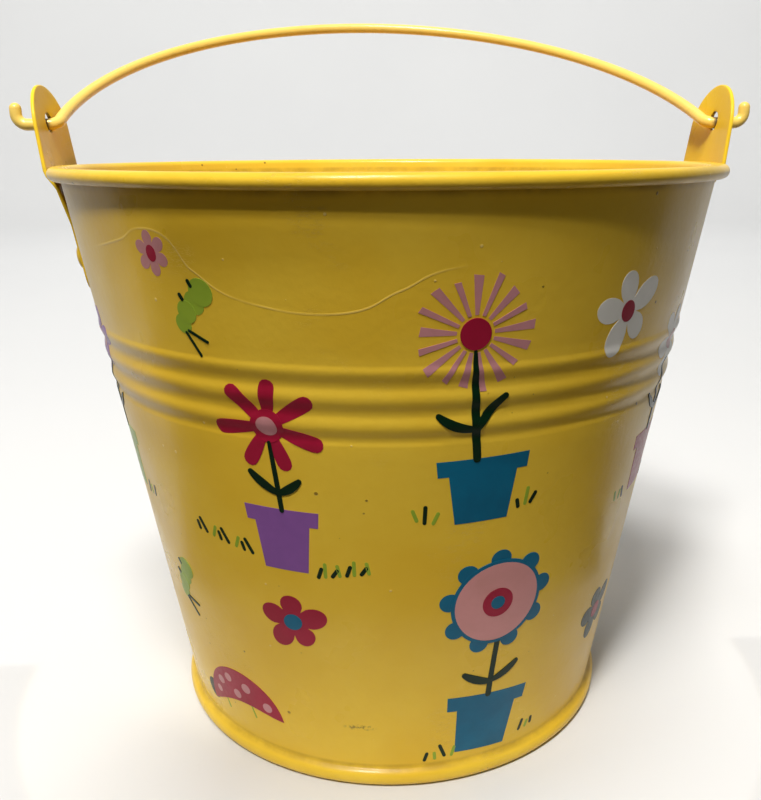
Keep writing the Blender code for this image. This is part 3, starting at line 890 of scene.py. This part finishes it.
class Nodes:
    """Builds one material's node tree with short calls."""

    def __init__(self, name):
        self.material = bpy.data.materials.new(name)
        self.material.use_nodes = True
        self.tree = self.material.node_tree
        self.shader = self.tree.nodes["Principled BSDF"]
        self.position = self.new("ShaderNodeTexCoord").outputs["Object"]

    def new(self, kind, **settings):
        node = self.tree.nodes.new(kind)
        for key, value in settings.items():
            setattr(node, key, value)
        return node

    def feed(self, node, socket, value):
        """Sets a node's input, or links it when value is another node's output."""
        target = node.inputs[socket]
        if isinstance(value, bpy.types.NodeSocket):
            self.tree.links.new(value, target)
        else:
            target.default_value = value

    def math(self, operation, a, b=0.0, clamp=False):
        node = self.new("ShaderNodeMath", operation=operation, use_clamp=clamp)
        self.feed(node, 0, a)
        self.feed(node, 1, b)
        return node.outputs[0]

    def noise(self, scale, detail=2.0, roughness=0.5, position=None):
        node = self.new("ShaderNodeTexNoise")
        self.feed(node, "Vector", position or self.position)
        self.feed(node, "Scale", scale)
        self.feed(node, "Detail", detail)
        self.feed(node, "Roughness", roughness)
        return node.outputs["Fac"]

    def cells(self, scale, randomness=1.0):
        """Distance to the nearest cell's point, and that cell's random colour."""
        node = self.new("ShaderNodeTexVoronoi")
        self.feed(node, "Vector", self.position)
        self.feed(node, "Scale", scale)
        self.feed(node, "Randomness", randomness)
        return node.outputs["Distance"], node.outputs["Color"]

    def ramp(self, value, low, high, to_low=0.0, to_high=1.0):
        """Maps low..high to to_low..to_high, smoothly and without going past the ends."""
        node = self.new("ShaderNodeMapRange", interpolation_type="SMOOTHSTEP")
        for socket, number in (("Value", value), ("From Min", low), ("From Max", high)):
            self.feed(node, socket, number)
        self.feed(node, "To Min", to_low)
        self.feed(node, "To Max", to_high)
        return node.outputs["Result"]

    def blend(self, factor, a, b):
        """Colour a where factor is 0 and colour b where it is 1."""
        node = self.new("ShaderNodeMix", data_type="RGBA")
        self.feed(node, 0, factor)
        for socket, colour in ((6, a), (7, b)):
            self.feed(node, socket, colour if isinstance(colour, bpy.types.NodeSocket) else (*colour, 1.0))
        return node.outputs[2]

    def bump(self, height, distance, below=None, strength=1.0):
        node = self.new("ShaderNodeBump")
        self.feed(node, "Height", height)
        self.feed(node, "Distance", distance)
        self.feed(node, "Strength", strength)
        if below:
            self.feed(node, "Normal", below)
        return node.outputs["Normal"]

    def axes(self):
        node = self.new("ShaderNodeSeparateXYZ")
        self.feed(node, 0, self.position)
        return node.outputs

    def specks(self, scale, size, share):
        """Small round marks: 1 inside a mark. share is how many of the cells hold one."""
        distance, colour = self.cells(scale)
        pick = self.new("ShaderNodeSeparateColor")
        self.feed(pick, 0, colour)
        chosen = self.math("LESS_THAN", pick.outputs[0], share)
        radius = self.math("MULTIPLY", pick.outputs[1], size)
        mark = self.ramp(self.math("SUBTRACT", distance, radius), 0.0, size * 0.6, 1.0, 0.0)
        return self.math("MULTIPLY", mark, chosen)


def enamel(name, colour, deeper, marks=None, gloss=0.32):
    """Semi-gloss yellow enamel: slight mottling, orange peel, dust nibs, dark specks and fine scratches."""
    n = Nodes(name)
    mottle = n.noise(28, 3, 0.55)
    tone = n.blend(n.ramp(mottle, 0.35, 0.7), colour, deeper)
    fine = n.noise(420, 2)
    tone = n.blend(n.ramp(fine, 0.3, 0.75, 0.0, 0.18), tone, deeper)
    dark = n.specks(210, 0.075, 0.26)
    tone = n.blend(n.math("MULTIPLY", dark, 0.75), tone, (0.13, 0.07, 0.012))
    pale = n.specks(260, 0.07, 0.22)
    tone = n.blend(n.math("MULTIPLY", pale, 0.5), tone, (0.9, 0.72, 0.3))
    streak = n.new("ShaderNodeMapping")
    n.feed(streak, "Vector", n.position)
    streak.inputs["Scale"].default_value = (1.0, 1.0, 5.0)
    streak.inputs["Rotation"].default_value = (0.5, 0.2, 0.9)
    hair = n.noise(160, 5, 0.7, streak.outputs[0])
    scratch = n.ramp(n.math("ABSOLUTE", n.math("SUBTRACT", hair, 0.5)), 0.0, 0.006, 1.0, 0.0)
    scratch = n.math("MULTIPLY", scratch, n.ramp(n.noise(45, 2), 0.58, 0.68))
    tone = n.blend(n.math("MULTIPLY", scratch, 0.35), tone, (0.95, 0.8, 0.35))
    rough = n.ramp(n.noise(60, 3), 0.3, 0.75, 0.27, 0.38)
    rough = n.math("ADD", rough, n.math("MULTIPLY", scratch, 0.2))
    wave = n.bump(n.noise(34, 1), 0.0009, strength=0.35)
    peel = n.bump(n.noise(620, 2), 0.00006, wave, 0.9)
    nibs = n.bump(n.math("ADD", dark, pale), 0.00008, peel)
    normal = n.bump(n.math("MULTIPLY", scratch, -1.0), 0.00003, nibs)
    if marks:
        tone, rough, normal = marks(n, tone, rough, normal)
    n.feed(n.shader, "Base Color", tone)
    n.feed(n.shader, "Roughness", rough)
    n.feed(n.shader, "Normal", normal)
    n.shader.inputs["Specular IOR Level"].default_value = gloss
    n.shader.inputs["Coat Weight"].default_value = gloss * 0.375
    n.shader.inputs["Coat Roughness"].default_value = 0.12
    return n.material


def wall_marks(n, tone, rough, normal):
    """What only the wall has: a long faint ridge under the enamel, a dark scuff, and painted shade that
    darkens the creases under the rim and at the foot.
    """
    x, y, z = n.axes()
    angle = n.math("ARCTAN2", x, n.math("MULTIPLY", y, -1.0))
    span = radians(100)
    start = radians(-60)
    share = n.math("DIVIDE", n.math("SUBTRACT", angle, start), span)
    curve = n.new("ShaderNodeFloatCurve")
    n.feed(curve, "Value", share)
    line = curve.mapping.curves[0]
    low, high = 0.112, 0.136
    knots = ((-60, 126.0), (-46.2, 129.4), (-39.3, 132.0), (-32.0, 124.8), (-22.1, 118.8),
             (-11.2, 117.5), (-1.6, 121.9), (6.0, 126.0), (40, 128.5))
    points = [((radians(a) - start) / span, (h * MM - low) / (high - low)) for a, h in knots]
    line.points[0].location = points[0]
    line.points[1].location = points[-1]
    for point in points[1:-1]:
        line.points.new(*point)
    curve.mapping.update()
    ridge_height = n.math("ADD", n.math("MULTIPLY", curve.outputs[0], high - low), low)
    away = n.math("ABSOLUTE", n.math("SUBTRACT", z, ridge_height))
    ridge = n.ramp(away, 0.00008, 0.00034, 1.0, 0.0)
    left_end = n.ramp(angle, radians(-58), radians(-50))
    right_end = n.ramp(angle, radians(0), radians(9), 1.0, 0.0)
    ridge = n.math("MULTIPLY", ridge, n.math("MULTIPLY", left_end, right_end))
    ridge = n.math("MULTIPLY", ridge, n.ramp(n.noise(70, 2), 0.3, 0.6, 0.35, 1.0))
    tone = n.blend(n.math("MULTIPLY", ridge, 0.42), tone, (0.93, 0.70, 0.22))
    normal = n.bump(ridge, 0.00005, normal)
    across = n.math("DIVIDE", n.math("SUBTRACT", angle, radians(-10.3)), 0.075)
    upward = n.math("DIVIDE", n.math("SUBTRACT", z, 0.0170), 0.0011)
    reach = n.math("ADD", n.math("MULTIPLY", across, across), n.math("MULTIPLY", upward, upward))
    scuff = n.math("MULTIPLY", n.ramp(reach, 0.1, 1.0, 1.0, 0.0), n.ramp(n.noise(900, 3, 0.7), 0.42, 0.6))
    tone = n.blend(n.math("MULTIPLY", scuff, 0.7), tone, (0.12, 0.08, 0.02))
    # Painted shade: darker bands in the crease just above the foot roll and just under the rim's curl,
    # standing in for the shade that falls there; they also roughen the enamel a little.
    foot = n.math("MULTIPLY", n.ramp(z, 0.0048, 0.0060, 1.0, 0.0), n.ramp(z, 0.0036, 0.0044))
    lip_bottom = n.ramp(z, HEIGHT - 0.0048, HEIGHT - 0.0034)
    lip_top = n.ramp(z, HEIGHT - 0.0030, HEIGHT - 0.0022, 1.0, 0.0)
    lip = n.math("MULTIPLY", lip_bottom, lip_top)
    crease_shade = n.math("MULTIPLY", n.math("MAXIMUM", foot, lip), n.ramp(n.noise(120, 4, 0.6), 0.3, 0.7, 0.1, 0.45))
    tone = n.blend(crease_shade, tone, (0.22, 0.12, 0.015))
    rough = n.math("ADD", rough, n.math("MULTIPLY", crease_shade, 0.2))
    return tone, rough, normal


def ear_marks(n, tone, rough, normal):
    """Bare, rubbed metal round the hole that the bail turns in."""
    _, y, z = n.axes()
    height = n.math("SUBTRACT", z, HEIGHT + EAR_HOLE_RISE)
    away = n.math("SQRT", n.math("ADD", n.math("MULTIPLY", y, y), n.math("MULTIPLY", height, height)))
    uneven = n.math("MULTIPLY", n.noise(800, 3, 0.6), 0.0016)
    rub = n.ramp(n.math("ADD", away, uneven), 0.0029, 0.0034, 1.0, 0.0)
    tone = n.blend(rub, tone, (0.14, 0.09, 0.03))
    n.feed(n.shader, "Metallic", n.math("MULTIPLY", rub, 0.5))
    rough = n.math("ADD", rough, n.math("MULTIPLY", rub, 0.12))
    return tone, rough, n.bump(n.math("MULTIPLY", rub, -1.0), 0.00005, normal)


def bail_marks(n, tone, rough, normal):
    """Enamel rubbed off the wire where it turns in the ears."""
    x, _, _ = n.axes()
    from_hole = n.math("ABSOLUTE", n.math("SUBTRACT", n.math("ABSOLUTE", x), 0.0853))
    uneven = n.math("MULTIPLY", n.noise(700, 3, 0.6), 0.0016)
    rub = n.ramp(n.math("ADD", from_hole, uneven), 0.0013, 0.0024, 1.0, 0.0)
    tone = n.blend(rub, tone, (0.24, 0.18, 0.1))
    n.feed(n.shader, "Metallic", n.math("MULTIPLY", rub, 0.7))
    return tone, rough, normal


def ink(name, colour, shade):
    """Screen-printed ink: slightly uneven cover over the enamel, with pinholes."""
    n = Nodes(name)
    cover = n.noise(90, 3, 0.6)
    tone = n.blend(n.ramp(cover, 0.3, 0.7), colour, shade)
    grain = n.noise(900, 2, 0.6)
    tone = n.blend(n.ramp(grain, 0.45, 0.8, 0.0, 0.22), tone, shade)
    holes = n.specks(260, 0.05, 0.08)
    tone = n.blend(n.math("MULTIPLY", holes, 0.6), tone, (0.62, 0.42, 0.09))
    n.feed(n.shader, "Base Color", tone)
    n.feed(n.shader, "Roughness", n.ramp(grain, 0.3, 0.7, 0.3, 0.4))
    wave = n.bump(n.noise(34, 1), 0.0009, strength=0.35)
    n.feed(n.shader, "Normal", n.bump(n.noise(620, 2), 0.00004, wave, 0.7))
    n.shader.inputs["Specular IOR Level"].default_value = 0.2
    n.shader.inputs["Coat Weight"].default_value = 0.04
    n.shader.inputs["Coat Roughness"].default_value = 0.15
    return n.material


INKS = {
    "pink": ((0.56, 0.25, 0.27), (0.48, 0.21, 0.20)),
    "rose": ((0.64, 0.29, 0.28), (0.58, 0.26, 0.24)),
    "crimson": ((0.36, 0.010, 0.040), (0.30, 0.008, 0.030)),
    "maroon": ((0.42, 0.015, 0.06), (0.36, 0.012, 0.05)),
    "violet": ((0.25, 0.095, 0.34), (0.22, 0.085, 0.30)),
    "blue": ((0.003, 0.130, 0.235), (0.003, 0.105, 0.195)),
    "pine": ((0.002, 0.016, 0.006), (0.003, 0.022, 0.007)),
    "lime": ((0.30, 0.42, 0.035), (0.25, 0.37, 0.03)),
    "white": ((0.86, 0.85, 0.80), (0.78, 0.77, 0.71)),
}


# ------------------------------------------------------------------ the studio


def studio_material():
    n = Nodes("studio_paper")
    tone = n.blend(n.noise(3, 3), (0.70, 0.70, 0.69), (0.66, 0.66, 0.655))
    n.feed(n.shader, "Base Color", tone)
    n.shader.inputs["Roughness"].default_value = 0.75
    n.feed(n.shader, "Normal", n.bump(n.noise(300, 3), 0.0002, strength=0.2))
    return n.material


def add_stage_piece(name, bm, material):
    """Turns a bmesh into a part of the studio."""
    mesh = bpy.data.meshes.new(name)
    bm.to_mesh(mesh)
    bm.free()
    mesh.materials.append(material)
    piece = bpy.data.objects.new(name, mesh)
    bpy.context.scene.collection.objects.link(piece)
    return piece


def build_cove():
    """A round pale cove: a flat floor that curves up into a wall on every side."""
    sweep_start = 1.6
    sweep_radius = 0.8
    wall_top = 2.6
    profile = [Vector((0.0, 0.0)), Vector((0.3, 0.0)), Vector((0.8, 0.0))]
    profile += arc(Vector((sweep_start, sweep_radius)), sweep_radius, -pi / 2, 0, radians(6))
    profile.append(Vector((sweep_start + sweep_radius, wall_top)))
    bm = bmesh.new()
    angles = even_angles(96)
    rows = [[bm.verts.new((p.x * cos(a), p.x * sin(a), p.y)) for a in angles] for p in profile[1:]]
    centre = bm.verts.new((0, 0, 0))
    for i in range(len(angles)):
        j = (i + 1) % len(angles)
        bm.faces.new((centre, rows[0][i], rows[0][j]))
        for low, high in zip(rows, rows[1:]):
            bm.faces.new((low[i], high[i], high[j], low[j]))
    cove = add_stage_piece("studio_cove", bm, studio_material())
    cove.data.shade_smooth()


def build_card():
    """A dark curved card round the front, behind the camera: it keeps the enamel's front rich and deep."""
    profile = ((0.105, 0.001), (0.26, 0.001), (0.26, 0.55))
    half_arc = radians(90)
    steps = 32
    angles = [half_arc * (2 * i / steps - 1) for i in range(steps + 1)]
    bm = bmesh.new()
    rows = [[bm.verts.new((r * sin(a), -r * cos(a), z)) for a in angles] for r, z in profile]
    for low, high in zip(rows, rows[1:]):
        for i in range(steps):
            bm.faces.new((low[i], low[i + 1], high[i + 1], high[i]))
    n = Nodes("studio_card")
    n.feed(n.shader, "Base Color", n.blend(n.noise(6, 3), (0.06, 0.045, 0.03), (0.04, 0.03, 0.02)))
    n.shader.inputs["Roughness"].default_value = 0.8
    card = add_stage_piece("studio_card", bm, n.material)
    card.visible_camera = False
    card.visible_shadow = False


def build_flag(light):
    """A curved strip in the key light that shades the wall under the rim, more softly lower down."""
    shaded_heights_and_distances = ((0.126, 0.15), (0.135, 0.03))
    first = radians(-36)
    last = radians(60)
    steps = 20
    bm = bmesh.new()
    rows = []
    for height, distance in shaded_heights_and_distances:
        radius = wall_outside(height)
        toward = (Vector(light) - Vector((0, -radius, height))).normalized()
        angles = [first + (last - first) * i / steps for i in range(steps + 1)]
        points = [Vector((radius * sin(a), -radius * cos(a), height)) + toward * distance for a in angles]
        rows.append([bm.verts.new(p) for p in points])
    for i in range(steps):
        bm.faces.new((rows[0][i], rows[0][i + 1], rows[1][i + 1], rows[1][i]))
    flag = add_stage_piece("studio_flag", bm, bpy.data.materials["studio_card"])
    flag.visible_camera = False
    flag.visible_diffuse = False
    flag.visible_glossy = False


def add_light(name, place, aim, size, power, colour=(1.0, 1.0, 1.0)):
    """A soft square light at place that points at aim."""
    data = bpy.data.lights.new(name, "AREA")
    data.shape = "RECTANGLE"
    data.size, data.size_y = size
    data.energy = power
    data.color = colour
    light = bpy.data.objects.new(name, data)
    light.location = place
    light.rotation_euler = (Vector(aim) - Vector(place)).to_track_quat("-Z", "Y").to_euler()
    bpy.context.scene.collection.objects.link(light)
    return light


def build_lights():
    key = (-0.24, -0.66, 1.07)
    add_light("key", key, (0, -0.05, 0.06), (0.17, 0.17), 13.0, (1.0, 0.98, 0.95))
    build_flag(key)
    add_light("overhead", (-0.08, -0.43, 1.12), (0, 0, 0.1), (0.2, 0.2), 9.0, (1.0, 0.98, 0.95))
    fill = add_light("fill", (0.05, -0.75, 0.25), (0, 0, 0.12), (0.5, 0.5), 0.4)
    fill.visible_glossy = False
    add_light("background", (0, 0.7, 1.5), (0, 2.4, 0.5), (1.6, 0.5), 26.0)
    world = bpy.data.worlds.new("studio_air")
    world.use_nodes = True
    world.node_tree.nodes["Background"].inputs["Color"].default_value = (0.92, 0.95, 1.0, 1.0)
    world.node_tree.nodes["Background"].inputs["Strength"].default_value = 0.25
    bpy.context.scene.world = world


def build_camera():
    """A close, slightly raised view from the front, a little to the left of the pail's own front."""
    bearing = radians(3.0)
    distance = 0.22924
    height = 0.14664
    heading = radians(-3.418)
    pitch_down = radians(16.427)
    roll = radians(-0.246)
    data = bpy.data.cameras.new("camera")
    data.lens = 38.58
    data.shift_x = -0.0199
    data.clip_start = 0.01
    camera = bpy.data.objects.new("camera", data)
    turn = (
        Matrix.Rotation(heading, 4, "Z")
        @ Matrix.Rotation(pi / 2 - pitch_down, 4, "X")
        @ Matrix.Rotation(roll, 4, "Z")
    )
    place = Vector((-distance * sin(bearing), -distance * cos(bearing), height))
    camera.matrix_world = Matrix.Translation(place) @ turn
    bpy.context.scene.collection.objects.link(camera)
    bpy.context.scene.camera = camera
    bpy.context.scene.view_settings.view_transform = "Standard"


def build_pail():
    yellow = (0.79, 0.525, 0.045)
    deeper = (0.74, 0.46, 0.028)
    wall = enamel("yellow_enamel_wall", yellow, deeper, wall_marks, 0.22)
    plain = enamel("yellow_enamel", yellow, deeper)
    # The ears' enamel is a lighter yellow than the wall's: painted light that brightens the ears.
    ear = enamel("yellow_enamel_ear", (0.84, 0.58, 0.035), (0.80, 0.52, 0.025), ear_marks, 0.08)
    wire = enamel("yellow_enamel_wire", (0.86, 0.61, 0.14), (0.82, 0.56, 0.11), bail_marks)
    build_wall(wall)
    build_base(plain)
    build_ear("ear_strap_left", -1, "ear_left", ear)
    build_ear("ear_strap_right", 1, "ear_right", ear)
    build_rivets(plain)
    build_bail(wire)
    page = draw_pictures()
    for name, (colour, shade) in INKS.items():
        page.build(name, ink("ink_" + name, colour, shade))


build_pail()
build_cove()
build_card()
build_lights()
build_camera()
